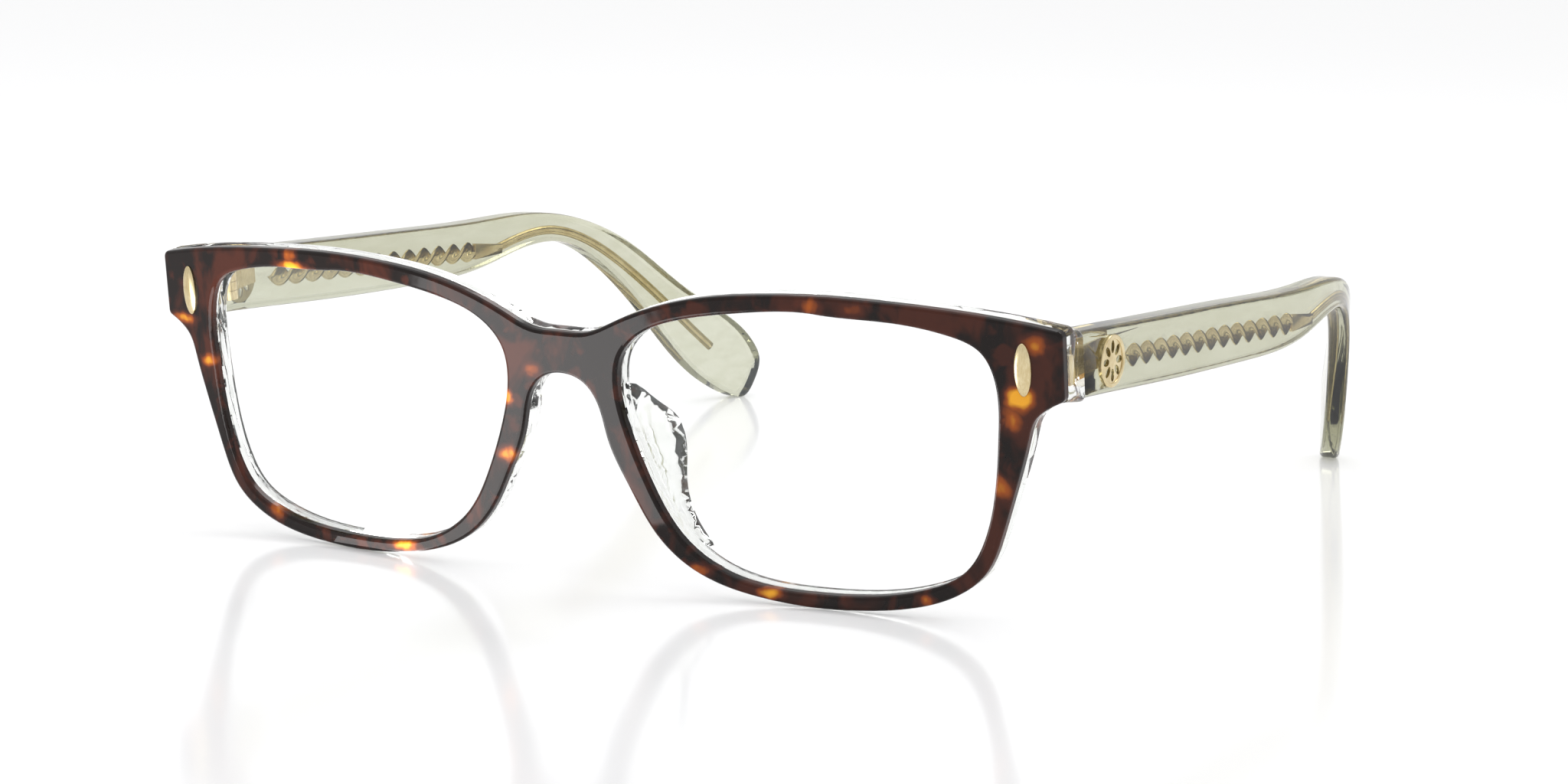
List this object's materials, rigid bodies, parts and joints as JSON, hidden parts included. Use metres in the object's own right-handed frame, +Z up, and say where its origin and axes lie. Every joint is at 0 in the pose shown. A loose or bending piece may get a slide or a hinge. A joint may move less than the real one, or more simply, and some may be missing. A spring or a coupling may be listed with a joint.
{
  "type": "eyeglasses frame",
  "caption": "Full-rim acetate eyeglasses frame with demo lenses, built-up nose pads, barrel hinges and folding wire-core temples.",
  "frame": {"origin": "on the surface the glasses stand on, below the centre of the bounding box of the open frame", "axes": "+X to the wearer's left, +Y back along the temples, +Z up; the front faces -Y"},
  "size_m": [0.1404, 0.1374, 0.0419],
  "materials": {
    "tortoise": "polished",
    "clear_acetate": "polished",
    "olive_crystal": "polished",
    "lens": "polished",
    "pale_gold": "polished",
    "steel": "satin"
  },
  "bodies": {
    "front": {"front_face": "tortoise", "front_back": "clear_acetate", "lens_left": "lens", "lens_right": "lens", "stud_left": "pale_gold", "stud_right": "pale_gold", "nose_pad_left": "clear_acetate", "nose_pad_right": "clear_acetate", "hinge_front_left": "pale_gold", "hinge_front_right": "pale_gold", "hinge_screw_left": "steel", "hinge_screw_right": "steel"},
    "temple_left": {"temple_left": "olive_crystal", "hinge_temple_left": "pale_gold", "core_wire_left": "pale_gold", "medallion_left": "pale_gold"},
    "temple_right": {"temple_right": "olive_crystal", "hinge_temple_right": "pale_gold", "core_wire_right": "pale_gold", "medallion_right": "pale_gold"}
  },
  "joints": [
    {"name": "fold_left", "type": "hinge", "parent": "front", "child": "temple_left", "pos_m": [0.06375, -0.05512, 0.03349], "axis": [0, -0.1045, 0.9945], "range_deg": [0, 84]},
    {"name": "fold_right", "type": "hinge", "parent": "front", "child": "temple_right", "pos_m": [-0.06375, -0.05512, 0.03349], "axis": [0, 0.1045, -0.9945], "range_deg": [0, 70]}
  ]
}
